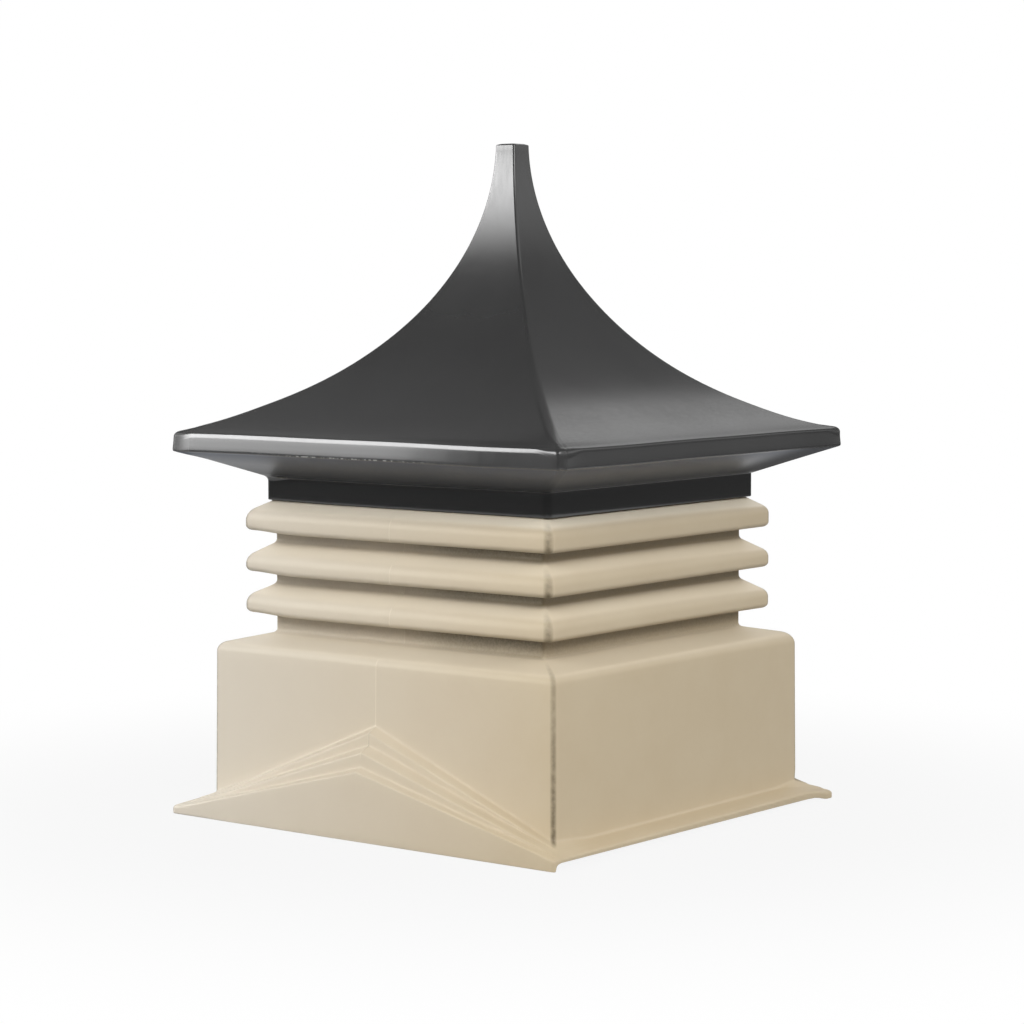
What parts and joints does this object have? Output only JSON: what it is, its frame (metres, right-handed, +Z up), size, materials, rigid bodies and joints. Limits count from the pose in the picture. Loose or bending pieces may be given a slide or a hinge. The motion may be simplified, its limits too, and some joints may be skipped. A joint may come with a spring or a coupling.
{
  "type": "roof cupola",
  "caption": "Square ridge cupola: dark flared roof on a tan base with blind louvres, stepped gable ends and side flanges; hollow plastic, open underneath.",
  "frame": {"origin": "centre of the square plan, on the level of the apron feet", "axes": "+Z up to the spire; the stepped gable ends face -Y (front) and +Y (back); the side flanges face -X and +X, so the house ridge under the cupola runs along Y"},
  "size_m": [0.922, 0.922, 1.27],
  "materials": {
    "roof_plastic": "dark charcoal polyethylene, semi-gloss from the mould, with fine streaks",
    "base_plastic": "tan polyethylene with a fine moulded grain, matt to satin"
  },
  "bodies": {
    "root": {"roof_cap": "roof_plastic", "front_roof": "roof_plastic", "front_fascia": "roof_plastic", "front_soffit": "roof_plastic", "front_collar": "roof_plastic", "right_roof": "roof_plastic", "right_fascia": "roof_plastic", "right_soffit": "roof_plastic", "right_collar": "roof_plastic", "back_roof": "roof_plastic", "back_fascia": "roof_plastic", "back_soffit": "roof_plastic", "back_collar": "roof_plastic", "left_roof": "roof_plastic", "left_fascia": "roof_plastic", "left_soffit": "roof_plastic", "left_collar": "roof_plastic", "front_louvre_1": "base_plastic", "front_louvre_2": "base_plastic", "front_louvre_3": "base_plastic", "front_wall": "base_plastic", "right_louvre_1": "base_plastic", "right_louvre_2": "base_plastic", "right_louvre_3": "base_plastic", "right_wall": "base_plastic", "back_louvre_1": "base_plastic", "back_louvre_2": "base_plastic", "back_louvre_3": "base_plastic", "back_wall": "base_plastic", "left_louvre_1": "base_plastic", "left_louvre_2": "base_plastic", "left_louvre_3": "base_plastic", "left_wall": "base_plastic", "front_step_1": "base_plastic", "front_step_2": "base_plastic", "front_apron": "base_plastic", "back_step_1": "base_plastic", "back_step_2": "base_plastic", "back_apron": "base_plastic", "right_flange": "base_plastic", "left_flange": "base_plastic"}
  },
  "joints": []
}
